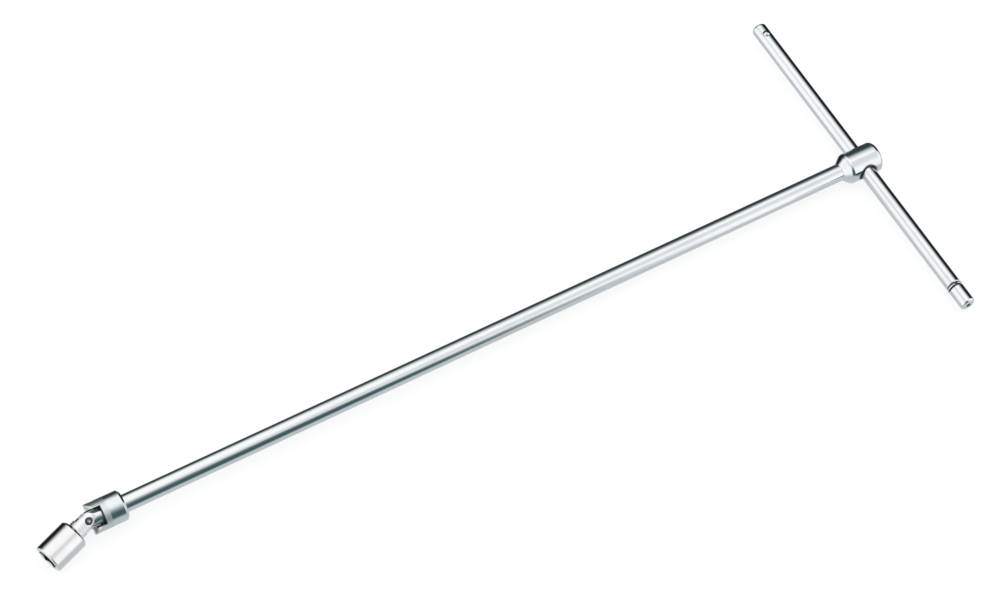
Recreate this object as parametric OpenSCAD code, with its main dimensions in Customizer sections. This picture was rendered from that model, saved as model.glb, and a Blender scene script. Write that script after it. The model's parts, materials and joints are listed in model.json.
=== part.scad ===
// Sliding T-handle socket wrench with a universal joint, lying on a table.
// The shaft runs along X, with the handle at +X and the socket at -X.
// The cross bar runs along Y and the table is the plane Z = 0.

/* [Cross bar] */
// Diameter of the cross bar
bar_d = 8; // [7:0.5:9]
// Length of the cross bar
bar_len = 195.6; // [150:1:240]
// Rounding of the bar's ends
bar_round = 1.4; // [0.5:0.1:2]
// Diameter of the centre drilling in each end of the bar
centre_d = 2.4; // [1.5:0.1:3]
// From the bar's near end to the middle of its ring groove
groove_from_end = 12; // [9:0.5:16]
// Width of the ring groove
groove_w = 2.2; // [1.6:0.1:3]
// Diameter at the bottom of the ring groove
groove_d = 6.6; // [6.2:0.1:6.8]
// Wire thickness of the retaining ring
ring_wire_d = 0.9; // [0.7:0.05:1]
// From the bar's far end to the retaining ball
ball_from_end = 7.4; // [6:0.1:12]
// Diameter of the retaining ball
ball_d = 3.8; // [3:0.1:4.2]
// How far the ball stands out of the bar
ball_proud = 0.8; // [0.4:0.1:1.1]

/* [Hub] */
// Diameter of the hub
hub_d = 16; // [15:0.5:20]
// From the bar's axis to the hub's free end
hub_nose = 9.4; // [8:0.1:12]
// From the bar's axis to the edge between the hub's cylinder and cone
hub_shoulder = 8.8; // [7:0.1:10]
// Length of the hub's cone
hub_cone = 4; // [3.5:0.1:8]
// Rounding of the hub's free end
hub_round = 2.6; // [1:0.1:3]
// Rounding between the hub's cylinder and cone
shoulder_round = 3; // [1:0.1:3.5]

/* [Shaft] */
// Diameter of the shaft
shaft_d = 9; // [8:0.5:10]
// From the bar's axis to the socket pin, with the joint straight
reach = 433; // [250:1:600]

/* [Joint] */
// Diameter of the shaft's yoke
yoke_d = 15.4; // [15:0.1:18]
// Length of the yoke
yoke_len = 17.8; // [16:0.1:26]
// From the ends of the yoke's arms to the socket pin, with the joint straight
arm_gap = 1.2; // [0.6:0.1:1.4]
// Width of the yoke's slot
slot_w = 9.6; // [9.4:0.1:10.5]
// Rounding in the corners of the yoke's slot
slot_round = 1; // [0.5:0.1:1]
// Radius of the arms' round tips, seen along the yoke pin
tip_r = 6.2; // [6:0.1:7]
// Diameter of both pins
pin_d = 3; // [2.6:0.1:3]
// Diameter of the flared ends of the pins
rivet_d = 4; // [3.6:0.1:4.4]
// From the yoke pin to the socket pin
pin_gap = 4.9; // [4.9:0.1:5.6]
// Radius of the link round the yoke pin
link_r = 2.2; // [2.1:0.1:2.3]
// Thickness of the link's tongue
tongue_t = 5; // [4.6:0.1:5]
// Width of the gap between the socket's ears
fork_w = 5.3; // [5.3:0.1:5.6]
// Radius of the socket's ears round their pin
ear_r = 3.9; // [3.4:0.1:4]
// Turn of the joint's pins about the shaft
clock = 33; // [-90:1:90]
// Tilt of the link on the yoke pin as it lies
tilt = 3.5; // [-40:1:40]
// Swing of the socket on its own pin as it lies
swing = 19.7; // [-28:1:28]

/* [Socket] */
// Outer diameter of the socket
socket_d = 15.4; // [15:0.1:18]
// Length of the socket's wide part
socket_len = 18; // [15:0.5:24]
// Diameter of the socket's neck
neck_d = 9.2; // [8.6:0.1:9.2]
// From the socket pin to the shoulder of the wide part
neck_len = 7.6; // [7.4:0.1:12]
// Size of the nut that the socket turns, across its flats
hex_af = 10; // [8:0.5:11]
// Depth of the hexagon
hex_depth = 11; // [8:0.5:14]

/* [Hidden] */

fine = 96;
small = 48;
over = 1;
bar_r = bar_d / 2;
bar_play = 0.05;
hub_r = hub_d / 2;
shaft_r = shaft_d / 2;
yoke_r = yoke_d / 2;
socket_r = socket_d / 2;
neck_r = neck_d / 2;
pin_r = pin_d / 2;
pin_play = 0.04;

// Wall left between the end of each blind hole for the shaft and what lies beyond it
seat_wall = 1.9;
shaft_from = -(bar_r + seat_wall);
hub_lip = 0.15;
hub_bevel = 1.8;
shaft_round = 0.4;
cone_foot = -(hub_shoulder + hub_cone);
cone_slope = atan2(hub_r - shaft_r - hub_lip, hub_cone);
shoulder_at = [hub_r - shoulder_round, shoulder_round * tan(cone_slope / 2) - hub_shoulder];
shoulder_steps = 8;

// Yoke, measured along the shaft from the yoke pin towards the socket
slot_clear = 0.6;
slot_end = -(link_r + slot_clear);
yoke_front = pin_gap - arm_gap;
yoke_back = yoke_front - yoke_len;
yoke_bevel = 1.1;
yoke_lip = 0.5;
tip_x = yoke_front - tip_r;
yoke_pin_x = reach - pin_gap;
shaft_to = -(yoke_pin_x + slot_end - seat_wall);
link_play = 0.15;
link_w = slot_w - 2 * link_play;
link_bevel = 0.9;
rivet_depth = 0.7;
rivet_dome = 0.25;
rivet_edge = 0.15;
rivet_dimple_r = 0.5;
rivet_inset = 0.2;
yoke_pin_half = yoke_r - 0.45;
socket_pin_half = neck_r - rivet_inset;
overlap = 0.1;

// Socket, measured from its own pin towards the mouth
fork_clear = 0.4;
fork_end = ear_r + fork_clear;
neck_start = 2.6;
neck_taper = 1.2;
shoulder_bevel = 1;
neck_fillet = 0.8;
mouth = neck_len + socket_len;
mouth_round = 0.8;
mouth_flat_r = socket_r - mouth_round;
hex_r = hex_af / 2 / cos(30);
lead_in = 0.6;
drill_point = 1.4;

// Retaining ball and its spring, in a blind hole that points up
ball_r = ball_d / 2;
ball_play = 0.05;
ball_y = bar_len / 2 - ball_from_end;
ball_z = bar_r + ball_proud - ball_r;
ball_hole_r = ball_r + ball_play;
ball_hole_end = -2.6;
spring_wire_r = 0.2;
spring_side_gap = 0.35;
spring_r = ball_r - spring_wire_r - spring_side_gap;
spring_gap = 0.06;
spring_bottom = ball_hole_end + spring_wire_r + spring_gap;
spring_top = ball_z - ball_r - spring_wire_r - spring_gap;
spring_turns = 3;
spring_steps = 16;
spring_sides = 6;

// Retaining ring, a split wire ring loose in its groove
ring_play = 0.04;
ring_r = groove_d / 2 + ring_play + ring_wire_d / 2;
ring_y = -(bar_len / 2 - groove_from_end);
ring_gap_angle = 36;
groove_bevel = 0.3;

// Directions of the joint as it lies
function turn_x(a) = [[1, 0, 0], [0, cos(a), -sin(a)], [0, sin(a), cos(a)]];
function turn_y(a) = [[cos(a), 0, sin(a)], [0, 1, 0], [-sin(a), 0, cos(a)]];
function turn_z(a) = [[cos(a), -sin(a), 0], [sin(a), cos(a), 0], [0, 0, 1]];
along = [1, 0, 0];
link_turn = turn_x(clock) * turn_z(180) * turn_y(-tilt);
socket_turn = link_turn * turn_z(swing);
socket_pin_at = [-yoke_pin_x, 0, 0] + link_turn * along * pin_gap;
rim_at = socket_pin_at + socket_turn * along * (mouth - mouth_round);

// The wrench leans by the small angle at which the hub and the socket's rim both touch the table.
// Each round edge is a ring of radius `r` and thickness `t` about the direction `d`.
function ring_reach(r, t, d) = r * sqrt(1 - d * d) + t;
function rim_low(a) = (turn_y(a) * rim_at)[2]
    - ring_reach(mouth_flat_r, mouth_round, (turn_y(a) * socket_turn * along)[2]);
function hub_low(a) = (turn_y(a) * [hub_nose - hub_round, 0, 0])[2]
    - ring_reach(hub_r - hub_round, hub_round, (turn_y(a) * along)[2]);
function find_lean(a, steps) = steps == 0 ? a
    : find_lean(a + (hub_low(a) - rim_low(a)) / reach * 180 / PI, steps - 1);
lean_steps = 8;
lean = find_lean(0, lean_steps);
low = hub_low(lean);
left = (turn_y(lean) * rim_at)[0]
    - ring_reach(mouth_flat_r, mouth_round, (turn_y(lean) * socket_turn * along)[0]);
right = (turn_y(lean) * [hub_nose - hub_round, 0, 0])[0]
    + ring_reach(hub_r - hub_round, hub_round, (turn_y(lean) * along)[0]);
middle = (left + right) / 2;

// Half outline of a rod from z = a to z = b, with its edges rounded by `ra` and `rb`
module rod_outline(r, a, b, ra, rb) {
  translate([0, a + ra]) square([r, b - a - ra - rb]);
  translate([0, a]) square([r - max(ra, rb), b - a]);
  if (ra > 0) {
    translate([0, a]) square([r - ra, ra]);
    translate([r - ra, a + ra]) circle(ra, $fn = small);
  }
  if (rb > 0) {
    translate([0, b - rb]) square([r - rb, rb]);
    translate([r - rb, b - rb]) circle(rb, $fn = small);
  }
}

// A shape turned on a lathe about X, from a half outline drawn as [radius, distance]
module turned_x() {
  rotate([0, 90, 0]) rotate_extrude($fn = fine) children();
}

// The same about Y
module turned_y() {
  rotate([-90, 0, 0]) rotate_extrude($fn = fine) children();
}

// A straight round pin along Y through the origin
module pin_y(r, length) {
  rotate([90, 0, 0]) cylinder(r = r, h = length, center = true, $fn = small);
}

// Where each group of pieces lies
module on_table() {
  translate([-middle, 0, -low]) rotate([0, lean, 0]) children();
}
module bar_on_table() {
  translate([-middle, 0, -low]) children();
}
module at_yoke() {
  on_table() translate([-yoke_pin_x, 0, 0]) rotate([clock, 0, 0]) rotate([0, 0, 180]) children();
}
module at_link() {
  at_yoke() rotate([0, -tilt, 0]) children();
}
module at_socket() {
  at_link() translate([pin_gap, 0, 0]) rotate([0, 0, swing]) children();
}

// Long round shaft, seated in the hub at one end and in the yoke at the other
module shaft() {
  color([0.80, 0.82, 0.83])
    on_table()
      turned_x()
        rod_outline(shaft_r, shaft_to, shaft_from, shaft_round, shaft_round);
}

// Half outline of the hub behind the bar: a cone with a rounded shoulder
function hub_back() = concat(
    [[0, 0], [0, cone_foot], [shaft_r + hub_lip, cone_foot]],
    [for (i = [shoulder_steps:-1:0])
      let (a = cone_slope * i / shoulder_steps)
        shoulder_at + shoulder_round * [cos(a), -sin(a)]],
    [[hub_r, 0]]);

// Hub that the cross bar slides in, with a cone down to the shaft
module hub() {
  color([0.72, 0.74, 0.76])
    on_table()
      difference() {
        turned_x() {
          rod_outline(hub_r, 0, hub_nose, 0, hub_round);
          polygon(hub_back());
        }
        translate([cone_foot - over, 0, 0])
          rotate([0, 90, 0])
            cylinder(r = shaft_r, h = shaft_from + over - cone_foot, $fn = fine);
        rotate([90, 0, 0])
          cylinder(r = bar_r + bar_play, h = 2 * hub_d, center = true, $fn = fine);
        for (side = [0, 180])
          rotate([0, 0, side]) translate([0, hub_r - hub_bevel, 0])
            rotate([-90, 0, 0])
              cylinder(r1 = bar_r + bar_play, r2 = bar_r + bar_play + 2 * hub_bevel,
                       h = 2 * hub_bevel, $fn = fine);
      }
}

// Cross bar with rounded ends, centre drillings, a ring groove and a hole for the ball
module cross_bar() {
  color([0.80, 0.82, 0.83])
    bar_on_table()
      difference() {
        turned_y()
          difference() {
            rod_outline(bar_r, -bar_len / 2, bar_len / 2, bar_round, bar_round);
            translate([groove_d / 2, ring_y - groove_w / 2]) square([bar_r, groove_w]);
            for (side = [-1, 1])
              translate([bar_r, ring_y + side * groove_w / 2])
                rotate(45) square(groove_bevel * sqrt(2), center = true);
          }
        for (side = [-1, 1])
          translate([0, side * bar_len / 2, 0])
            rotate([side * 90, 0, 0])
              cylinder(r1 = centre_d / 2, r2 = 0, h = centre_d / 2, $fn = small);
        translate([0, ball_y, ball_hole_end])
          cylinder(r = ball_hole_r, h = bar_d, $fn = small);
      }
}

// Split wire ring that lies in the bar's groove
module retaining_ring() {
  color([0.55, 0.56, 0.58])
    bar_on_table()
      translate([0, ring_y, 0])
        rotate([-90, 0, 0])
          rotate([0, 0, 90 + ring_gap_angle / 2])
            rotate_extrude(angle = 360 - ring_gap_angle, $fn = fine)
              translate([ring_r, 0]) circle(ring_wire_d / 2, $fn = small);
}

// Ball that stops the bar at the hub
module retaining_ball() {
  color([0.60, 0.61, 0.63])
    bar_on_table()
      translate([0, ball_y, ball_z]) sphere(ball_r, $fn = fine);
}

// Coil spring under the ball, swept round its helix
spring_rings = spring_turns * spring_steps;
function spring_point(i) = [spring_r * cos(360 * i / spring_steps),
                            spring_r * sin(360 * i / spring_steps),
                            spring_bottom + (spring_top - spring_bottom) * i / spring_rings];
function spring_skin(i, j) = let (a = 360 * i / spring_steps, b = 360 * j / spring_sides)
    spring_point(i) + spring_wire_r * [cos(b) * cos(a), cos(b) * sin(a), sin(b)];
module ball_spring() {
  color([0.45, 0.46, 0.48])
    bar_on_table()
      translate([0, ball_y, 0])
        polyhedron(
          points = [for (i = [0:spring_rings]) for (j = [0:spring_sides - 1]) spring_skin(i, j)],
          faces = concat(
            [[for (j = [0:spring_sides - 1]) j]],
            [for (i = [0:spring_rings - 1]) for (j = [0:spring_sides - 1])
              let (k = (j + 1) % spring_sides, a = i * spring_sides, b = a + spring_sides)
                [a + j, b + j, b + k, a + k]],
            [[for (j = [spring_sides - 1:-1:0]) spring_rings * spring_sides + j]]),
          convexity = 10);
}

// Slot of the yoke seen along the socket pin, open towards the socket
module slot_outline() {
  half = slot_w / 2 - slot_round;
  translate([slot_end + slot_round, -slot_w / 2]) square([yoke_front - slot_end + over, slot_w]);
  translate([slot_end, -half]) square([slot_round + over, 2 * half]);
  for (side = [-1, 1])
    translate([slot_end + slot_round, side * half]) circle(slot_round, $fn = small);
}

// Yoke on the end of the shaft
module shaft_yoke() {
  color([0.66, 0.68, 0.70])
    at_yoke()
      difference() {
        turned_x()
          polygon([[0, yoke_back], [yoke_r - yoke_bevel, yoke_back], [yoke_r, yoke_back + yoke_bevel],
                   [yoke_r, yoke_front - yoke_lip], [yoke_r - yoke_lip, yoke_front], [0, yoke_front]]);
        translate([0, 0, -yoke_d]) linear_extrude(2 * yoke_d) slot_outline();
        rotate([90, 0, 0])
          linear_extrude(2 * yoke_d, center = true)
            difference() {
              translate([tip_x, -yoke_r]) square([tip_r + over, yoke_d]);
              translate([tip_x, 0]) circle(tip_r, $fn = fine);
            }
        pin_y(pin_r, 2 * yoke_d);
        for (side = [0, 180])
          rotate([0, 0, side]) translate([0, yoke_r - rivet_depth, 0])
            rotate([-90, 0, 0])
              cylinder(r1 = pin_r, r2 = rivet_d / 2 + overlap, h = rivet_depth + overlap, $fn = small);
        translate([yoke_back - over, 0, 0])
          rotate([0, 90, 0])
            cylinder(r = shaft_r, h = slot_end - seat_wall - yoke_back + over, $fn = fine);
      }
}

// Riveted pin along Y: a straight body, a flare and a low dome at each end, with a punch mark.
// The flare starts `half` - rivet_depth from the middle.
module riveted_pin(half) {
  rotate([-90, 0, 0])
    rotate_extrude($fn = small)
      polygon([[0, -half], [rivet_dimple_r, -half - rivet_dome], [pin_r, -half - rivet_edge],
               [rivet_d / 2, -half], [pin_r, -half + rivet_depth],
               [pin_r, half - rivet_depth], [rivet_d / 2, half], [pin_r, half + rivet_edge],
               [rivet_dimple_r, half + rivet_dome], [0, half]]);
}
module yoke_pin() {
  color([0.50, 0.51, 0.53])
    at_yoke() riveted_pin(yoke_pin_half);
}

// Link between the two pins: a barrel round the yoke pin and a tongue round the socket pin
module link_block() {
  color([0.58, 0.60, 0.62])
    at_link()
      difference() {
        union() {
          turned_y()
            polygon([[0, -link_w / 2], [link_r - link_bevel, -link_w / 2],
                     [link_r, link_bevel - link_w / 2], [link_r, link_w / 2 - link_bevel],
                     [link_r - link_bevel, link_w / 2], [0, link_w / 2]]);
          translate([0, 0, -tongue_t / 2])
            linear_extrude(tongue_t) {
              translate([0, -ear_r]) square([pin_gap, 2 * ear_r]);
              translate([pin_gap, 0]) circle(ear_r, $fn = fine);
            }
        }
        pin_y(pin_r + pin_play, 2 * slot_w);
        translate([pin_gap, 0, 0])
          cylinder(r = pin_r + pin_play, h = slot_w, center = true, $fn = small);
      }
}

// Outline of the ears and the start of the neck, seen along the socket pin
module ear_outline() {
  circle(ear_r, $fn = fine);
  wide = neck_r + overlap;
  polygon([[0, -ear_r], [neck_start, -ear_r], [neck_start + neck_taper, -wide],
           [neck_len, -wide], [neck_len, wide],
           [neck_start + neck_taper, wide], [neck_start, ear_r], [0, ear_r]]);
}

// Socket with its neck and its two ears in one piece
module hex_socket() {
  color([0.74, 0.76, 0.78])
    at_socket()
      difference() {
        union() {
          intersection() {
            translate([-ear_r - over, 0, 0]) rotate([0, 90, 0])
              cylinder(r = neck_r, h = neck_len + ear_r + over, $fn = fine);
            translate([0, 0, -neck_d]) linear_extrude(2 * neck_d) ear_outline();
          }
          turned_x() {
            rod_outline(socket_r, neck_len + shoulder_bevel, mouth, 0, mouth_round);
            polygon([[0, neck_len - neck_fillet], [neck_r, neck_len - neck_fillet],
                     [neck_r + neck_fillet, neck_len],
                     [socket_r - shoulder_bevel, neck_len], [socket_r, neck_len + shoulder_bevel],
                     [0, neck_len + shoulder_bevel]]);
          }
        }
        translate([-ear_r - over, -neck_d, -fork_w / 2])
          cube([fork_end + ear_r + over, 2 * neck_d, fork_w]);
        cylinder(r = pin_r, h = 2 * neck_d, center = true, $fn = small);
        for (side = [0, 180])
          rotate([side, 0, 0]) translate([0, 0, neck_r - rivet_depth])
            cylinder(r1 = pin_r, r2 = rivet_d / 2 + overlap, h = rivet_depth + overlap, $fn = small);
        translate([mouth - hex_depth, 0, 0])
          rotate([0, 90, 0]) cylinder(r = hex_r, h = hex_depth + over, $fn = 6);
        translate([mouth - lead_in, 0, 0])
          rotate([0, 90, 0]) cylinder(r1 = hex_r - lead_in, r2 = hex_r + lead_in, h = 2 * lead_in,
                                      $fn = fine);
        translate([mouth - hex_depth - drill_point, 0, 0])
          rotate([0, 90, 0]) cylinder(r1 = 0, r2 = hex_af / 2, h = drill_point, $fn = fine);
      }
}

// Pin that joins the socket to the link
module socket_pin() {
  color([0.50, 0.51, 0.53])
    at_socket() rotate([90, 0, 0]) riveted_pin(socket_pin_half);
}

shaft();
hub();
cross_bar();
retaining_ring();
retaining_ball();
ball_spring();
shaft_yoke();
yoke_pin();
link_block();
socket_pin();
hex_socket();
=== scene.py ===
"""Looks of the sliding T-handle socket wrench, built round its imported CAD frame."""
import json
import math
import bpy
import bmesh
from mathutils import Matrix, Vector


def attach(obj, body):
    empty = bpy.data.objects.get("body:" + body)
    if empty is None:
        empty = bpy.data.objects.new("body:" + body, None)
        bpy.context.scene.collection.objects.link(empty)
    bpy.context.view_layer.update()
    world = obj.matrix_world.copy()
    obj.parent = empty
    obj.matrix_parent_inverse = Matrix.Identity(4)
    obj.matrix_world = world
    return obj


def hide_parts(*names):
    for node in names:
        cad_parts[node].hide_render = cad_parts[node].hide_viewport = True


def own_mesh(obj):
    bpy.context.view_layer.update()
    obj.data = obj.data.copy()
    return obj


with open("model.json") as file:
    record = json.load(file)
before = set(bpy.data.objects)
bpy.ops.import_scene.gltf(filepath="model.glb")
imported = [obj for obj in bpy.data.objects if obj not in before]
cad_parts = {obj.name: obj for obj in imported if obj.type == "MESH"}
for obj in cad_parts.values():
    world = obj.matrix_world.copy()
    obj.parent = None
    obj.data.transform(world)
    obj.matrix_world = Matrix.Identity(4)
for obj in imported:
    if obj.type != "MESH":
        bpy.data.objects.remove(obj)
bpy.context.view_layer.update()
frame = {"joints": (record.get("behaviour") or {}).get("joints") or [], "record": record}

MM = 0.001
JOINTS = {j["name"]: j for j in frame["joints"]}
MOUNTS = {m["name"]: m for m in frame["record"]["mounts"]}

# Sizes in millimetres, as the CAD has them
BAR_R = 4.0
BAR_HALF = 97.8
BAR_ROUND = 1.4
CENTRE_R = 1.2
GROOVE_FROM_END = 12.0
GROOVE_W = 2.2
GROOVE_R = 3.3
RING_WIRE_R = 0.45
RING_R = GROOVE_R + 0.04 + RING_WIRE_R
RING_GAP = 36.0
BALL_FROM_END = 7.4
BALL_R = 1.9
BALL_PROUD = 0.8
BALL_Z = BAR_R + BALL_PROUD - BALL_R
BALL_HOLE_END = -2.6
SPRING_WIRE_R = 0.2
SPRING_R = BALL_R - SPRING_WIRE_R - 0.35
SPRING_GAP = 0.06
SPRING_LOW = BALL_HOLE_END + SPRING_GAP
SPRING_HIGH = BALL_Z - BALL_R - SPRING_GAP
SPRING_TURNS = 3
HUB_R = 8.0
HUB_NOSE = 9.4
HUB_SHOULDER = 8.8
HUB_CONE = 4.0
HUB_ROUND = 2.6
HUB_BEND = 3.0
HUB_LIP = 0.15
COUNTERSINK = 1.8
BORE_R = 4.05
SHAFT_R = 4.5
SEAT = 5.9
YOKE_R = 7.7
YOKE_LEN = 17.8
YOKE_FRONT = 3.7
YOKE_BACK = YOKE_FRONT - YOKE_LEN
YOKE_CHAMFER = 1.1
SATIN_FROM = -6.1
SATIN_TO = -5.4
SLOT_HALF = 4.8
SLOT_END = -2.8
SLOT_CORNER = 1.0
TIP_R = 6.2
SHAFT_SEAT = SLOT_END - 1.9
PIN_R = 1.5
RIVET_R = 2.0
FLARE_DEPTH = 0.7
CUTTER_TWIST = 1.3
YOKE_PIN_INSET = 0.45
SOCKET_PIN_INSET = 0.2
PIN_PLAY = 0.04
PIN_GAP = 4.9
LINK_R = 2.2
LINK_HALF = 4.65
LINK_CHAMFER = 0.9
TONGUE_HALF = 2.5
FORK_HALF = 2.65
EAR_R = 3.9
FORK_END = EAR_R + 0.4
SOCKET_R = 7.7
NECK_R = 4.6
NECK_LEN = 7.6
NECK_WIDEN_FROM = 2.6
NECK_WIDEN_TO = 3.8
EAR_SHOULDER = 1.2
MOUTH = 25.6
HEX_HALF = 5.0
HEX_DEPTH = 11.0
HEX_CORNER_R = HEX_HALF / math.cos(math.pi / 6)
HEX_TIP = 1.4

# How finely the meshes are made: cutters reach well past what they cut
SEGMENTS = 144
FINE_SEGMENTS = 72
HOLE_SEGMENTS = 64
SMALL_SEGMENTS = 48
FILLET_STEPS = 6
BEVEL_STEPS = 3
BEVEL_ANGLE = 32
SMOOTH_ANGLE = 38
ONE_PLANE_ANGLE = 0.4
FAR = 12
NEAR = 9

# Where the camera stands and looks, in millimetres and degrees
CAMERA_TARGET = (22.91, 15.36, 8.0)
CAMERA_DISTANCE = 1477.25
CAMERA_AZIMUTH = -121.786
CAMERA_ELEVATION = 57.550
CAMERA_ROLL = 2.723
SENSOR_WIDTH = 36
FOCAL_LENGTH = 108


# Places -------------------------------------------------------------------------------------

def placed(origin, x_axis, z_hint):
    """Matrix whose X is x_axis and whose Z is z_hint made square to it."""
    x = x_axis.normalized()
    y = z_hint.cross(x).normalized()
    z = x.cross(y)
    turn = Matrix((x, y, z)).transposed().to_4x4()
    return Matrix.Translation(origin) @ turn


BAR_AT = Vector((MOUNTS["bar_end"]["pos_m"][0], 0.0, MOUNTS["bar_end"]["pos_m"][2]))
YOKE_PIN_AT = Vector(JOINTS["link_tilt"]["pos_m"])
SOCKET_PIN_AT = Vector(JOINTS["socket_swing"]["pos_m"])
ALONG = (YOKE_PIN_AT - BAR_AT).normalized()
YOKE_PIN_AXIS = -Vector(JOINTS["link_tilt"]["axis"])
SOCKET_PIN_AXIS = Vector(JOINTS["socket_swing"]["axis"])
SOCKET_AXIS = Vector(MOUNTS["socket_outside"]["axis"])
REACH = (YOKE_PIN_AT - BAR_AT).length / MM

UP = Vector((0, 0, 1))
BAR_FRAME = placed(BAR_AT, Vector((0, 1, 0)), UP)
HUB_FRAME = placed(BAR_AT, -ALONG, UP)
YOKE_FRAME = placed(YOKE_PIN_AT, ALONG, ALONG.cross(YOKE_PIN_AXIS))
LINK_FRAME = placed(YOKE_PIN_AT, SOCKET_PIN_AT - YOKE_PIN_AT, SOCKET_PIN_AXIS)
SOCKET_FRAME = placed(SOCKET_PIN_AT, SOCKET_AXIS, SOCKET_PIN_AXIS)


# Mesh tools ---------------------------------------------------------------------------------

def rounded(corners):
    """Points of an outline whose corners are (distance, radius, rounding)."""
    points = []
    last = len(corners) - 1
    for i, (x, r, fillet) in enumerate(corners):
        here = Vector((x, r))
        if fillet <= 0 or i in (0, last):
            points.append(here)
            continue
        before = (Vector(corners[i - 1][:2]) - here).normalized()
        after = (Vector(corners[i + 1][:2]) - here).normalized()
        half = before.angle(after) / 2
        reach = fillet / math.tan(half)
        start = here + before * reach
        end = here + after * reach
        centre = here + (before + after).normalized() * (fillet / math.sin(half))
        a = math.atan2(start.y - centre.y, start.x - centre.x)
        b = math.atan2(end.y - centre.y, end.x - centre.x)
        turn = (b - a + math.pi) % (2 * math.pi) - math.pi
        for k in range(FILLET_STEPS + 1):
            angle = a + turn * k / FILLET_STEPS
            points.append(centre + fillet * Vector((math.cos(angle), math.sin(angle))))
    return points


def lathe(name, corners, segments=SEGMENTS):
    """Closed solid turned about X from corners that start and end on the axis."""
    points = rounded(corners)
    bm = bmesh.new()
    rings = []
    for p in points:
        if p.y < 1e-6:
            rings.append([bm.verts.new((p.x * MM, 0, 0))])
            continue
        ring = []
        for k in range(segments):
            a = 2 * math.pi * k / segments
            ring.append(bm.verts.new((p.x * MM, p.y * MM * math.cos(a), p.y * MM * math.sin(a))))
        rings.append(ring)
    for a, b in zip(rings, rings[1:]):
        for k in range(segments):
            m = (k + 1) % segments
            if len(a) == 1 and len(b) == 1:
                continue
            if len(a) == 1:
                bm.faces.new((a[0], b[m], b[k]))
            elif len(b) == 1:
                bm.faces.new((a[k], a[m], b[0]))
            else:
                bm.faces.new((a[k], a[m], b[m], b[k]))
    bmesh.ops.recalc_face_normals(bm, faces=bm.faces)
    return as_object(name, bm)


def as_object(name, bm):
    mesh = bpy.data.meshes.new(name)
    bm.to_mesh(mesh)
    bm.free()
    obj = bpy.data.objects.new(name, mesh)
    bpy.context.scene.collection.objects.link(obj)
    return obj


def prism(name, outline, low, high, axis="z"):
    """Solid over an outline of (u, v) points, from low to high along z, or along y."""
    bm = bmesh.new()
    ends = []
    for level in (low, high):
        if axis == "z":
            ends.append([bm.verts.new((u * MM, v * MM, level * MM)) for u, v in outline])
        else:
            ends.append([bm.verts.new((u * MM, level * MM, v * MM)) for u, v in outline])
    count = len(outline)
    bm.faces.new(ends[0])
    bm.faces.new(ends[1])
    for k in range(count):
        m = (k + 1) % count
        bm.faces.new((ends[0][k], ends[0][m], ends[1][m], ends[1][k]))
    bmesh.ops.recalc_face_normals(bm, faces=bm.faces)
    return as_object(name, bm)


def arc(cx, cy, r, start, end, steps):
    """Points of an arc, angles in degrees."""
    angles = [math.radians(start + (end - start) * k / steps) for k in range(steps + 1)]
    return [(cx + r * math.cos(a), cy + r * math.sin(a)) for a in angles]


def turned(obj, matrix):
    obj.data.transform(matrix)
    return obj


def baked(obj):
    """Replaces an object's mesh by the same mesh with its modifiers applied."""
    graph = bpy.context.evaluated_depsgraph_get()
    mesh = bpy.data.meshes.new_from_object(obj.evaluated_get(graph))
    obj.modifiers.clear()
    obj.data = mesh
    return obj


def combine(obj, other, operation="DIFFERENCE"):
    """Cuts other out of obj, or joins it to obj, and removes other."""
    change = obj.modifiers.new("combine", "BOOLEAN")
    change.operation = operation
    change.solver = "EXACT"
    change.object = other
    baked(obj)
    bpy.data.objects.remove(other)
    return obj


def cleaned(obj, merge, flatten):
    """Merges stray points and, if asked, the faces that lie in one plane."""
    bm = bmesh.new()
    bm.from_mesh(obj.data)
    bmesh.ops.remove_doubles(bm, verts=bm.verts, dist=merge * MM)
    bmesh.ops.dissolve_degenerate(bm, dist=merge / 2 * MM, edges=bm.edges)
    if flatten:
        limit = math.radians(ONE_PLANE_ANGLE)
        bmesh.ops.dissolve_limit(bm, angle_limit=limit, verts=bm.verts, edges=bm.edges)
    bm.to_mesh(obj.data)
    bm.free()


def softened(obj, width, merge=0.004):
    """Cleans a mesh, rounds its sharp edges and shades the rest smooth."""
    cleaned(obj, merge, True)
    if width > 0:
        bevel = obj.modifiers.new("edges", "BEVEL")
        bevel.width = width * MM
        bevel.segments = BEVEL_STEPS
        bevel.limit_method = "ANGLE"
        bevel.angle_limit = math.radians(BEVEL_ANGLE)
        bevel.use_clamp_overlap = True
        bevel.harden_normals = False
        baked(obj)
        cleaned(obj, merge, False)
    return smooth(obj)


def smooth(obj):
    """Shades smooth, with the large faces setting the direction at their edges."""
    obj.data.shade_smooth()
    obj.data.set_sharp_from_angle(angle=math.radians(SMOOTH_ANGLE))
    weigh = obj.modifiers.new("weigh", "WEIGHTED_NORMAL")
    weigh.mode = "FACE_AREA"
    weigh.weight = 100
    weigh.keep_sharp = True
    return baked(obj)


def finished(obj, matrix, body, node, material):
    """Puts a piece in its place, on its body and in place of its CAD node.

    The mesh keeps each point's place on the piece, in millimetres, for the materials.
    """
    local = obj.data.attributes.new("local", "FLOAT_VECTOR", "POINT")
    for point, vertex in zip(local.data, obj.data.vertices):
        point.vector = vertex.co / MM
    obj.data.transform(matrix)
    obj.data.materials.clear()
    obj.data.materials.append(material)
    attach(obj, body)
    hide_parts(node)
    return obj


# Materials ----------------------------------------------------------------------------------

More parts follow.
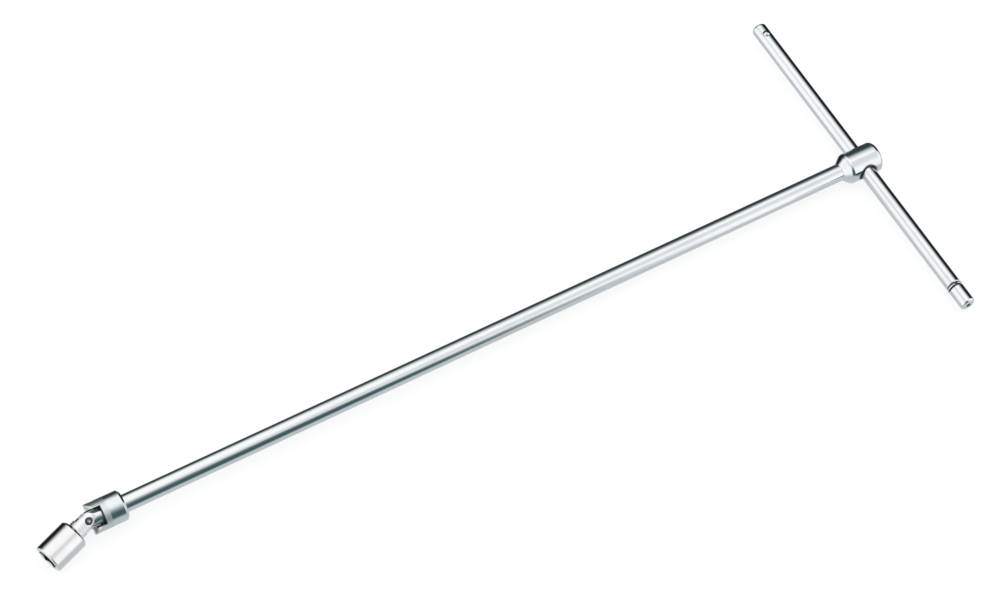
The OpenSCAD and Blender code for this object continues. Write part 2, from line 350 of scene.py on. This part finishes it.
class Nodes:
    """Small helper that adds and links shader nodes."""

    def __init__(self, tree):
        self.tree = tree
        tree.nodes.clear()

    def add(self, kind, **settings):
        node = self.tree.nodes.new(kind)
        for key, value in settings.items():
            setattr(node, key, value)
        return node

    def link(self, a, b):
        self.tree.links.new(a, b)

    def math(self, operation, a, b=None, c=None):
        node = self.add("ShaderNodeMath", operation=operation)
        for socket, value in zip(node.inputs, (a, b, c)):
            if value is None:
                continue
            if isinstance(value, (int, float)):
                socket.default_value = value
            else:
                self.link(value, socket)
        return node.outputs[0]

    def ramp(self, value, low, high, bottom=0.0, top=1.0):
        node = self.add("ShaderNodeMapRange", interpolation_type="SMOOTHSTEP")
        self.link(value, node.inputs["Value"])
        node.inputs["From Min"].default_value = low
        node.inputs["From Max"].default_value = high
        node.inputs["To Min"].default_value = bottom
        node.inputs["To Max"].default_value = top
        return node.outputs["Result"]

    def band(self, value, middle, half, soft):
        """1 within half of the middle and 0 beyond, with soft edges."""
        away = self.math("ABSOLUTE", self.math("SUBTRACT", value, middle))
        return self.ramp(away, half - soft, half + soft, 1.0, 0.0)

    def mix(self, factor, a, b):
        node = self.add("ShaderNodeMix", data_type="RGBA")
        for socket, value in ((node.inputs[0], factor), (node.inputs[6], a), (node.inputs[7], b)):
            if isinstance(value, (int, float)):
                socket.default_value = value
            elif isinstance(value, tuple):
                socket.default_value = (*value, 1.0)
            else:
                self.link(value, socket)
        return node.outputs[2]

    def noise(self, vector_out, scale, detail=3.0, rough=0.55):
        node = self.add("ShaderNodeTexNoise")
        self.link(vector_out, node.inputs["Vector"])
        node.inputs["Scale"].default_value = scale
        node.inputs["Detail"].default_value = detail
        node.inputs["Roughness"].default_value = rough
        return node.outputs["Fac"]

    def local(self):
        """Place on the piece, in millimetres."""
        return self.add("ShaderNodeAttribute", attribute_name="local").outputs["Vector"]

    def object_place(self):
        """Place on an object without a stored local place, in millimetres."""
        place = self.add("ShaderNodeTexCoord").outputs["Object"]
        return self.scaled(place, (1000.0, 1000.0, 1000.0))

    def scaled(self, place, scale):
        mapping = self.add("ShaderNodeMapping")
        mapping.inputs["Scale"].default_value = scale
        self.link(place, mapping.inputs["Vector"])
        return mapping.outputs["Vector"]

    def parts(self, place):
        split = self.add("ShaderNodeSeparateXYZ")
        self.link(place, split.inputs[0])
        return split.outputs

    def length(self, a, b):
        squares = self.math("MULTIPLY_ADD", a, a, self.math("MULTIPLY", b, b))
        return self.math("SQRT", squares)


def no_mask(n, x, y, z):
    """Marks nothing."""
    return n.math("MULTIPLY", x, 0.0)


def bar_shade_mask(n, x, y, z):
    """Painted shade: darkens the centre drillings, the ring groove and the ball's hole."""
    r = n.length(y, z)
    centre = n.ramp(r, CENTRE_R, CENTRE_R + 0.2, 1.0, 0.0)
    inside = n.ramp(r, BAR_R - 0.5, BAR_R - 0.25, 1.0, 0.0)
    along = n.ramp(n.math("ABSOLUTE", x), BAR_HALF - 4.0, BAR_HALF - 3.5, 1.0, 0.0)
    return n.math("MAXIMUM", centre, n.math("MULTIPLY", inside, along))


def hub_shade_mask(n, x, y, z):
    """Painted shade: darkens the countersink round the bar."""
    return n.ramp(n.length(x, z), BORE_R + 0.9, BORE_R + 1.7, 1.0, 0.0)


def yoke_shade_mask(n, x, y, z):
    """The slot: painted shade, darkest on its floor and in its corners."""
    across = n.ramp(n.math("ABSOLUTE", y), SLOT_HALF + 0.02, SLOT_HALF + 0.12, 1.0, 0.0)
    inside = n.math("MULTIPLY", across, n.ramp(x, SLOT_END - 0.12, SLOT_END - 0.02))
    return n.math("MULTIPLY", inside, n.ramp(x, SLOT_END + 0.3, SLOT_END + 1.4, 1.0, 0.25))


def socket_shade_mask(n, x, y, z):
    """Painted shade: darkens the walls of the fork, and the hexagon, darkest deep inside."""
    across = n.ramp(n.math("ABSOLUTE", z), FORK_HALF + 0.02, FORK_HALF + 0.1, 1.0, 0.0)
    fork = n.math("MULTIPLY", across, n.ramp(x, FORK_END + 0.1, FORK_END + 0.2, 1.0, 0.0))
    inside = n.ramp(n.length(y, z), HEX_HALF + 0.75, HEX_HALF + 0.9, 1.0, 0.0)
    hexagon = n.math("MULTIPLY", inside, n.ramp(x, MOUTH - HEX_DEPTH - 2, MOUTH - HEX_DEPTH - 1.5))
    hexagon = n.math("MULTIPLY", hexagon, n.ramp(x, MOUTH - 7.0, MOUTH - 0.3, 1.0, 0.25))
    hexagon = n.math("MULTIPLY", hexagon, n.ramp(x, MOUTH - 0.35, MOUTH - 0.1, 1.0, 0.0))
    return n.math("MAXIMUM", fork, hexagon)


def yoke_front(n, x, y, z):
    """The arms, with a lighter satin finish than the ground collar behind them."""
    return n.ramp(x, SATIN_FROM, SATIN_TO)


def socket_neck(n, x, y, z):
    """The neck and its ears, up to the socket's shoulder."""
    return n.ramp(x, NECK_LEN - 0.7, NECK_LEN - 0.2, 1.0, 0.0)


def yoke_pin_centre(n, x, y, z):
    """The lighter dimple in the end of the pin, which lies along Y; round it the pin is painted
    near-black, as painted shade.
    """
    return n.ramp(n.length(x, z), 0.5, 0.9, 1.0, 0.0)


def socket_pin_centre(n, x, y, z):
    """The lighter dimple in the end of the pin, which lies along Z; round it the pin is painted
    near-black, as painted shade.
    """
    return n.ramp(n.length(x, y), 0.5, 0.9, 1.0, 0.0)


GRIND_STRETCH = 0.02
SCRATCH_SCALE = (0.26, 2.6, 2.6)
CLOUD_SCALE = (0.09, 0.09, 0.09)
FINE_SCALE = (9.0, 9.0, 9.0)
BUMP_DISTANCE = 0.000004
# Near-black of the painted shade in hollows
HOLLOW_SHADE_COLOUR = (0.02, 0.021, 0.022)
ROD_LIGHT = (0.60, 0.615, 0.62)
ROD_DARK = (0.50, 0.52, 0.53)
# Near-black pin tones: painted shade round the lighter centre of each pin end
PIN_SHADED_LIGHT = (0.08, 0.075, 0.075)
PIN_SHADED_DARK = (0.04, 0.04, 0.04)


def metal(name, colour, dark, roughness, spread, lines, depth, patches=0.25,
          recess=no_mask, other=no_mask, other_colour=(0.72, 0.73, 0.74), other_rough=0.4):
    """Plated or bare metal with grinding lines round its axis, fine scratches and faint dulling.

    lines is the number of grinding lines per millimetre along the piece's X axis.
    recess marks the hollows that are painted near-black as painted shade, other marks a zone of
    another finish.
    """
    material = bpy.data.materials.new(name)
    material.use_nodes = True
    n = Nodes(material.node_tree)
    out = n.add("ShaderNodeOutputMaterial")
    shader = n.add("ShaderNodeBsdfPrincipled")
    n.link(shader.outputs[0], out.inputs["Surface"])
    shader.inputs["Metallic"].default_value = 1.0
    place = n.local()
    x, y, z = n.parts(place)
    hollow_shade = recess(n, x, y, z)
    zone = other(n, x, y, z)
    across = lines * GRIND_STRETCH
    grind = n.noise(n.scaled(place, (lines, across, across)), 1.0, 4.0, 0.6)
    scratch = n.noise(n.scaled(place, SCRATCH_SCALE), 1.0, 2.0, 0.7)
    cloud = n.noise(n.scaled(place, CLOUD_SCALE), 1.0, 3.0, 0.5)
    fine = n.noise(n.scaled(place, FINE_SCALE), 1.0, 1.0, 0.5)
    marks = n.ramp(scratch, 0.62, 0.74)
    dulled = n.ramp(cloud, 0.45, 0.72, 0.0, patches)
    tone = n.math("ADD", dulled, n.math("MULTIPLY", grind, 0.25))
    base = n.mix(tone, colour, dark)
    base = n.mix(zone, base, n.mix(grind, other_colour, dark))
    # Painted shade: the hollows that recess marks are darkened towards near-black
    base = n.mix(n.math("MULTIPLY", hollow_shade, 0.9), base, HOLLOW_SHADE_COLOUR)
    n.link(base, shader.inputs["Base Color"])
    rough = n.math("MULTIPLY_ADD", grind, spread, roughness - spread * 0.5)
    rough = n.math("MULTIPLY_ADD", marks, spread * 0.8, rough)
    rough = n.math("MULTIPLY_ADD", dulled, spread, rough)
    rough = n.math("MULTIPLY_ADD", zone, other_rough - roughness, rough)
    rough = n.math("MULTIPLY_ADD", hollow_shade, 0.3, rough)
    n.link(rough, shader.inputs["Roughness"])
    height = n.math("MULTIPLY_ADD", marks, -0.35, grind)
    height = n.math("MULTIPLY_ADD", fine, 0.3, height)
    bump = n.add("ShaderNodeBump")
    bump.inputs["Strength"].default_value = depth
    bump.inputs["Distance"].default_value = BUMP_DISTANCE
    n.link(height, bump.inputs["Height"])
    n.link(bump.outputs[0], shader.inputs["Normal"])
    return material


CHROME_ROD = metal("chrome_rod", ROD_LIGHT, ROD_DARK, 0.06, 0.04, 5.2, 0.25)
CHROME_BAR = metal("chrome_bar", ROD_LIGHT, ROD_DARK, 0.06, 0.04, 5.2, 0.25, recess=bar_shade_mask)
CHROME_HUB = metal("chrome_hub", ROD_LIGHT, (0.46, 0.48, 0.49), 0.10, 0.06, 4.2, 0.4,
                   recess=hub_shade_mask)
CHROME_YOKE = metal("chrome_yoke", (0.58, 0.60, 0.61), (0.36, 0.40, 0.41), 0.13, 0.10, 4.2, 0.6,
                    recess=yoke_shade_mask, other=yoke_front, other_rough=0.36)
CHROME_SOCKET = metal("chrome_socket", (0.61, 0.61, 0.61), (0.52, 0.52, 0.52), 0.06, 0.04, 5.2,
                      0.3, recess=socket_shade_mask, other=socket_neck,
                      other_colour=(0.86, 0.86, 0.87), other_rough=0.4)
LINK_STEEL = metal("link_steel", (0.76, 0.77, 0.78), (0.55, 0.56, 0.57), 0.42, 0.1, 3.8, 0.6)
YOKE_PIN_STEEL = metal("yoke_pin_steel", PIN_SHADED_LIGHT, PIN_SHADED_DARK, 0.36, 0.12, 3.0, 0.8,
                       other=yoke_pin_centre, other_rough=0.3)
SOCKET_PIN_STEEL = metal("socket_pin_steel", PIN_SHADED_LIGHT, PIN_SHADED_DARK, 0.36, 0.12, 3.0, 0.8,
                         other=socket_pin_centre, other_rough=0.3)
WIRE_STEEL = metal("wire_steel", (0.62, 0.63, 0.64), (0.40, 0.41, 0.43), 0.22, 0.1, 5.2, 0.5)
SPRING_STEEL = metal("spring_steel", (0.42, 0.43, 0.45), (0.26, 0.27, 0.29), 0.25, 0.1, 5.2, 0.5)
BALL_STEEL = metal("ball_steel", (0.56, 0.57, 0.58), (0.44, 0.45, 0.46), 0.08, 0.04, 5.2, 0.2)


# Pieces -------------------------------------------------------------------------------------

def make_shaft():
    """Plain round rod from the hub to the yoke.

    Known fault: the far end should be at -SHAFT_SEAT - REACH. As written, the rod ends
    past the yoke pin, by as much as its seat lies before it, and cuts through the link.
    """
    obj = lathe("shaft_rod", [
        (-SEAT, 0, 0), (-SEAT, SHAFT_R, 0.4),
        (SHAFT_SEAT - REACH, SHAFT_R, 0.4), (SHAFT_SEAT - REACH, 0, 0)][::-1])
    return finished(smooth(obj), HUB_FRAME, "shaft_group", "shaft", CHROME_ROD)


def make_hub():
    cone_end = -HUB_SHOULDER - HUB_CONE
    obj = lathe("hub_body", [
        (cone_end, 0, 0), (cone_end, SHAFT_R + HUB_LIP, 0.06), (-HUB_SHOULDER, HUB_R, HUB_BEND),
        (HUB_NOSE, HUB_R, HUB_ROUND), (HUB_NOSE, 0, 0)])
    bore = lathe("bore", [
        (-2 * HUB_R, 0, 0), (-2 * HUB_R, BORE_R + COUNTERSINK + HUB_R, 0),
        (-HUB_R + COUNTERSINK, BORE_R, 0.5), (HUB_R - COUNTERSINK, BORE_R, 0.5),
        (2 * HUB_R, BORE_R + COUNTERSINK + HUB_R, 0), (2 * HUB_R, 0, 0)])
    combine(obj, turned(bore, Matrix.Rotation(math.pi / 2, 4, "Z")))
    softened(obj, 0.28)
    return finished(obj, HUB_FRAME, "shaft_group", "hub", CHROME_HUB)


def make_bar():
    groove = -BAR_HALF + GROOVE_FROM_END
    lip = 0.3
    low = groove - GROOVE_W / 2
    high = groove + GROOVE_W / 2
    obj = lathe("cross_bar_rod", [
        (-BAR_HALF + CENTRE_R, 0, 0), (-BAR_HALF, CENTRE_R, 0.12), (-BAR_HALF, BAR_R, BAR_ROUND),
        (low - lip, BAR_R, 0.1), (low, BAR_R - lip, 0.08), (low, GROOVE_R, 0.2),
        (high, GROOVE_R, 0.2), (high, BAR_R - lip, 0.08), (high + lip, BAR_R, 0.1),
        (BAR_HALF, BAR_R, BAR_ROUND), (BAR_HALF, CENTRE_R, 0.12), (BAR_HALF - CENTRE_R, 0, 0)])
    hole = lathe("ball_hole", [
        (BALL_HOLE_END, 0, 0), (BALL_HOLE_END, BALL_R + 0.05, 0), (BAR_R - 0.1, BALL_R + 0.05, 0),
        (BAR_R + 1, BALL_R + 0.5, 0), (BAR_R + 1, 0, 0)], SMALL_SEGMENTS)
    turned(hole, Matrix.Rotation(-math.pi / 2, 4, "Y"))
    turned(hole, Matrix.Translation(((BAR_HALF - BALL_FROM_END) * MM, 0, 0)))
    combine(obj, hole)
    softened(obj, 0)
    return finished(obj, BAR_FRAME, "bar_group", "cross_bar", CHROME_BAR)


def make_ring():
    """Split wire ring: a tube swept round most of a circle, with rounded ends."""
    bm = bmesh.new()
    steps = 96
    sides = 20
    start = math.radians(90 + RING_GAP / 2)
    sweep = math.radians(360 - RING_GAP)
    x = -BAR_HALF + GROOVE_FROM_END
    cap = [(-0.9, 0.43), (-0.7, 0.71), (-0.4, 0.92), (0.0, 1.0)]
    stations = [(start + RING_WIRE_R / RING_R * a, b) for a, b in cap]
    stations += [(start + sweep * k / steps, 1.0) for k in range(1, steps)]
    stations += [(start + sweep - RING_WIRE_R / RING_R * a, b) for a, b in reversed(cap)]
    rings = []
    for angle, scale in stations:
        ring = []
        for k in range(sides):
            b = 2 * math.pi * k / sides
            r = RING_R + RING_WIRE_R * scale * math.cos(b)
            place = (x + RING_WIRE_R * scale * math.sin(b), r * math.cos(angle), r * math.sin(angle))
            ring.append(bm.verts.new(Vector(place) * MM))
        rings.append(ring)
    for a, b in zip(rings, rings[1:]):
        for k in range(sides):
            m = (k + 1) % sides
            bm.faces.new((a[k], a[m], b[m], b[k]))
    bm.faces.new(rings[0])
    bm.faces.new(rings[-1])
    bmesh.ops.recalc_face_normals(bm, faces=bm.faces)
    obj = smooth(as_object("retaining_wire", bm))
    return finished(obj, BAR_FRAME, "ring_group", "retaining_ring", WIRE_STEEL)


def make_ball():
    steps = 24
    corners = [(BALL_Z - BALL_R * math.cos(math.pi * k / steps),
                BALL_R * math.sin(math.pi * k / steps), 0) for k in range(steps + 1)]
    obj = lathe("stop_ball", corners, SMALL_SEGMENTS)
    turned(obj, Matrix.Rotation(-math.pi / 2, 4, "Y"))
    turned(obj, Matrix.Translation(((BAR_HALF - BALL_FROM_END) * MM, 0, 0)))
    return finished(smooth(obj), BAR_FRAME, "ball_group", "retaining_ball", BALL_STEEL)


def rivet_hole(side, surface, axis):
    """Cutter for a pin's hole with its flare, on one side of a piece.

    It is twisted a little, so that its faces don't line up with those of the piece.
    """
    obj = lathe("rivet_hole", [
        (0, 0, 0), (0, PIN_R, 0), (surface - FLARE_DEPTH, PIN_R, 0), (surface, RIVET_R, 0),
        (surface + 3, RIVET_R + 1.2, 0), (surface + 3, 0, 0)], HOLE_SEGMENTS)
    turned(obj, Matrix.Rotation(math.radians(CUTTER_TWIST), 4, "X"))
    turn = Matrix.Rotation(math.pi / 2 * side, 4, "Z")
    if axis == "z":
        turn = Matrix.Rotation(-math.pi / 2 * side, 4, "Y")
    return turned(obj, turn)


def make_yoke():
    obj = lathe("yoke_body", [
        (YOKE_BACK, 0, 0), (YOKE_BACK, YOKE_R - YOKE_CHAMFER, 0.25),
        (YOKE_BACK + YOKE_CHAMFER, YOKE_R, 0.5), (YOKE_FRONT, YOKE_R, 0.4), (YOKE_FRONT, 0, 0)])
    far = YOKE_FRONT + 4
    slot = [(far, SLOT_HALF)]
    slot += arc(SLOT_END + SLOT_CORNER, SLOT_HALF - SLOT_CORNER, SLOT_CORNER, 90, 180, 8)
    slot += arc(SLOT_END + SLOT_CORNER, -SLOT_HALF + SLOT_CORNER, SLOT_CORNER, 180, 270, 8)
    slot += [(far, -SLOT_HALF)]
    combine(obj, prism("slot", slot, -FAR, FAR))
    middle = YOKE_FRONT - TIP_R
    tip = arc(middle, 0, TIP_R, -90, 90, 48)
    tip = [(middle, FAR), (far, FAR), (far, -FAR), (middle, -FAR)] + tip
    combine(obj, prism("tips", tip, -FAR, FAR, "y"))
    for side in (-1, 1):
        combine(obj, rivet_hole(side, YOKE_R, "y"))
    softened(obj, 0.22)
    return finished(obj, YOKE_FRAME, "shaft_group", "shaft_yoke", CHROME_YOKE)


def riveted_pin(name, half):
    """Pin whose two ends are spread in a flare, domed and marked by the punch."""
    end = [(half - FLARE_DEPTH, PIN_R, 0.1), (half - 0.05, RIVET_R - 0.05, 0.08),
           (half + 0.12, PIN_R, 0.2), (half + 0.22, 0.75, 0.1), (half + 0.12, 0.6, 0.1),
           (half - 0.12, 0.2, 0.05), (half - 0.16, 0, 0)]
    start = [(-x, r, f) for x, r, f in reversed(end)]
    return lathe(name, start + end, FINE_SEGMENTS)


def make_yoke_pin():
    obj = riveted_pin("yoke_rivet", YOKE_R - YOKE_PIN_INSET)
    turned(obj, Matrix.Rotation(math.pi / 2, 4, "Z"))
    return finished(smooth(obj), YOKE_FRAME, "shaft_group", "yoke_pin", YOKE_PIN_STEEL)


def make_socket_pin():
    obj = riveted_pin("socket_rivet", NECK_R - SOCKET_PIN_INSET)
    turned(obj, Matrix.Rotation(math.pi / 2, 4, "Y"))
    return finished(smooth(obj), SOCKET_FRAME, "socket_group", "socket_pin",
                    SOCKET_PIN_STEEL)


def make_link():
    obj = lathe("link_body", [
        (-LINK_HALF, 0, 0), (-LINK_HALF, LINK_R - LINK_CHAMFER, 0.1),
        (LINK_CHAMFER - LINK_HALF, LINK_R, 0.2),
        (LINK_HALF - LINK_CHAMFER, LINK_R, 0.2), (LINK_HALF, LINK_R - LINK_CHAMFER, 0.1),
        (LINK_HALF, 0, 0)])
    turned(obj, Matrix.Rotation(math.pi / 2, 4, "Z"))
    tongue = [(0, -EAR_R)] + arc(PIN_GAP, 0, EAR_R, -90, 90, 40) + [(0, EAR_R)]
    combine(obj, prism("tongue", tongue, -TONGUE_HALF, TONGUE_HALF), "UNION")
    bore = lathe("bore", [
        (-NEAR, 0, 0), (-NEAR, PIN_R + PIN_PLAY, 0), (NEAR, PIN_R + PIN_PLAY, 0), (NEAR, 0, 0)],
        SMALL_SEGMENTS)
    other = bore.copy()
    other.data = bore.data.copy()
    bpy.context.scene.collection.objects.link(other)
    combine(obj, turned(bore, Matrix.Rotation(math.pi / 2, 4, "Z")))
    turned(other, Matrix.Translation((PIN_GAP * MM, 0, 0)) @ Matrix.Rotation(math.pi / 2, 4, "Y"))
    combine(obj, other)
    softened(obj, 0.15)
    return finished(obj, LINK_FRAME, "link_group", "link_block", LINK_STEEL)


def make_socket():
    obj = lathe("socket_body", [
        (-EAR_R - 1, 0, 0), (-EAR_R - 1, NECK_R, 0), (NECK_LEN, NECK_R, 0.8),
        (NECK_LEN, SOCKET_R - 1, 0.3), (NECK_LEN + 1, SOCKET_R, 0.6),
        (MOUTH, SOCKET_R, 0.8), (MOUTH, HEX_CORNER_R, 0.1),
        (MOUTH - 0.8, HEX_HALF - 0.3, 0), (MOUTH - 0.9, 0, 0)])
    wide = NECK_R + 0.1
    far = NECK_LEN - EAR_SHOULDER
    keep = arc(0, 0, EAR_R, 90, 270, 48)
    keep += [(NECK_WIDEN_FROM, -EAR_R), (NECK_WIDEN_TO, -wide), (far, -wide), (far, -NEAR)]
    keep += [(MOUTH + 3, -NEAR), (MOUTH + 3, NEAR), (far, NEAR), (far, wide)]
    keep += [(NECK_WIDEN_TO, wide), (NECK_WIDEN_FROM, EAR_R)]
    combine(obj, prism("ears", keep, -NEAR, NEAR), "INTERSECT")
    fork = [(-NEAR, -FORK_HALF), (FORK_END, -FORK_HALF)]
    fork += [(FORK_END, FORK_HALF), (-NEAR, FORK_HALF)]
    combine(obj, prism("fork", fork, -FAR, FAR, "y"))
    for side in (-1, 1):
        combine(obj, rivet_hole(side, NECK_R, "z"))
    hexagon = lathe("hexagon", [
        (MOUTH - HEX_DEPTH - HEX_TIP, 0, 0), (MOUTH - HEX_DEPTH, HEX_CORNER_R, 0),
        (MOUTH + 2, HEX_CORNER_R, 0), (MOUTH + 2, 0, 0)], 6)
    combine(obj, turned(hexagon, Matrix.Rotation(math.pi / 2, 4, "X")))
    softened(obj, 0.16, 0.002)
    return finished(obj, SOCKET_FRAME, "socket_group", "hex_socket", CHROME_SOCKET)


def make_spring():
    """Coil spring under the ball. The real spring shortens as the ball is pressed in; this mesh is
    made at one length.
    """
    bm = bmesh.new()
    per_turn = 40
    sides = 10
    steps = SPRING_TURNS * per_turn
    low = SPRING_LOW + SPRING_WIRE_R
    high = SPRING_HIGH - SPRING_WIRE_R
    rings = []
    for i in range(steps + 1):
        a = 2 * math.pi * i / per_turn
        z = low + (high - low) * i / steps
        ring = []
        for k in range(sides):
            b = 2 * math.pi * k / sides
            r = SPRING_R + SPRING_WIRE_R * math.cos(b)
            place = (r * math.cos(a), r * math.sin(a), z + SPRING_WIRE_R * math.sin(b))
            ring.append(bm.verts.new(Vector(place) * MM))
        rings.append(ring)
    for a, b in zip(rings, rings[1:]):
        for k in range(sides):
            m = (k + 1) % sides
            bm.faces.new((a[k], a[m], b[m], b[k]))
    bm.faces.new(rings[0])
    bm.faces.new(rings[-1])
    bmesh.ops.recalc_face_normals(bm, faces=bm.faces)
    obj = smooth(as_object("ball_coil", bm))
    turned(obj, Matrix.Translation(((BAR_HALF - BALL_FROM_END) * MM, 0, 0)))
    finished(obj, BAR_FRAME, "bar_group", "ball_spring", SPRING_STEEL)
    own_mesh(obj)
    return obj


# Stage --------------------------------------------------------------------------------------

def make_floor():
    bm = bmesh.new()
    half = 4.0
    corners = [(-half, -half), (half, -half), (half, half), (-half, half)]
    bm.faces.new([bm.verts.new((x, y, 0)) for x, y in corners])
    floor = as_object("table_top", bm)
    material = bpy.data.materials.new("table_white")
    material.use_nodes = True
    n = Nodes(material.node_tree)
    out = n.add("ShaderNodeOutputMaterial")
    shader = n.add("ShaderNodeBsdfPrincipled")
    n.link(shader.outputs[0], out.inputs["Surface"])
    shader.inputs["Roughness"].default_value = 0.9
    shader.inputs["Specular IOR Level"].default_value = 0.0
    grain = n.noise(n.scaled(n.object_place(), (0.014, 0.014, 0.014)), 1.0, 2.0, 0.5)
    n.link(n.mix(grain, (0.21, 0.21, 0.21), (0.23, 0.23, 0.23)), shader.inputs["Base Color"])
    shader.inputs["Emission Color"].default_value = (1.0, 1.0, 1.0, 1.0)
    shader.inputs["Emission Strength"].default_value = 0.80
    floor.data.materials.append(material)
    floor.visible_glossy = False


def make_light():
    """Soft white light all round, with a wide dark low down in front and another behind.

    Directions are an azimuth round Z from +X and a level above the horizon, in degrees.
    """
    world = bpy.data.worlds.new("studio")
    bpy.context.scene.world = world
    world.use_nodes = True
    n = Nodes(world.node_tree)
    out = n.add("ShaderNodeOutputWorld")
    back = n.add("ShaderNodeBackground")
    n.link(back.outputs[0], out.inputs["Surface"])
    place = n.add("ShaderNodeTexCoord")
    split = n.add("ShaderNodeSeparateXYZ")
    n.link(place.outputs["Generated"], split.inputs[0])
    x, y, z = split.outputs
    azimuth = n.math("MULTIPLY", n.math("ARCTAN2", y, x), 180 / math.pi)
    level = n.math("MULTIPLY", n.math("ARCSINE", z), 180 / math.pi)

    # All round: white, with a ring a little greyer about 60 degrees up
    open_colour = n.mix(n.ramp(level, 26, 58), (1.58, 1.58, 1.60), (1.16, 1.17, 1.20))
    open_colour = n.mix(n.ramp(level, 60, 80), open_colour, (1.55, 1.55, 1.56))

    # In front: a wide, soft dark with a teal tint. Below the horizon it all fades to light grey
    near = n.math("MULTIPLY", n.ramp(azimuth, -142, -112), n.ramp(azimuth, -75, -67.5, 1, 0))
    near_colour = n.mix(n.ramp(level, 24, 92), (0.085, 0.165, 0.175), (1.5, 1.5, 1.5))
    colour = n.mix(near, open_colour, near_colour)
    colour = n.mix(n.ramp(level, -24, 0), (0.84, 0.87, 0.89), colour)

    # Behind: dark from about 26 degrees below the horizon to 22 above, and white from 66. Past
    # azimuth 80 the dark ends 14 degrees lower
    far = n.math("MULTIPLY", n.ramp(azimuth, -4, 14), n.ramp(azimuth, 112, 134, 1, 0))
    far = n.math("MULTIPLY", far, n.ramp(level, -46, -26))
    far_level = n.math("ADD", level, n.ramp(azimuth, 60, 80, 0, 14))
    far_dark = n.mix(n.band(azimuth, 68, 20, 6), (0.018, 0.023, 0.026), (0.050, 0.078, 0.085))
    far_colour = n.mix(n.ramp(far_level, 22, 66), far_dark, (1.6, 1.6, 1.6))
    colour = n.mix(far, colour, far_colour)
    n.link(colour, back.inputs["Color"])
    back.inputs["Strength"].default_value = 1.0


def make_camera():
    """Long lens above the object, on its socket's side, looking down at it."""
    target = Vector(CAMERA_TARGET) * MM
    distance = CAMERA_DISTANCE * MM
    azimuth = math.radians(CAMERA_AZIMUTH)
    elevation = math.radians(CAMERA_ELEVATION)
    roll = math.radians(CAMERA_ROLL)
    away = Vector((math.cos(azimuth) * math.cos(elevation),
                   math.sin(azimuth) * math.cos(elevation), math.sin(elevation)))
    data = bpy.data.cameras.new("camera")
    data.sensor_width = SENSOR_WIDTH
    data.lens = FOCAL_LENGTH
    data.clip_start = 0.01
    camera = bpy.data.objects.new("camera", data)
    bpy.context.scene.collection.objects.link(camera)
    turn = away.to_track_quat("Z", "Y").to_matrix().to_4x4()
    camera.matrix_world = (Matrix.Translation(target + away * distance) @ turn
                           @ Matrix.Rotation(roll, 4, "Z"))
    bpy.context.scene.camera = camera


def set_view():
    scene = bpy.context.scene
    scene.view_settings.view_transform = "Standard"
    scene.view_settings.look = "None"


make_camera()
make_floor()
make_light()
set_view()
make_shaft()
make_hub()
make_bar()
make_ring()
make_ball()
make_yoke()
make_yoke_pin()
make_link()
make_socket_pin()
make_socket()
make_spring()
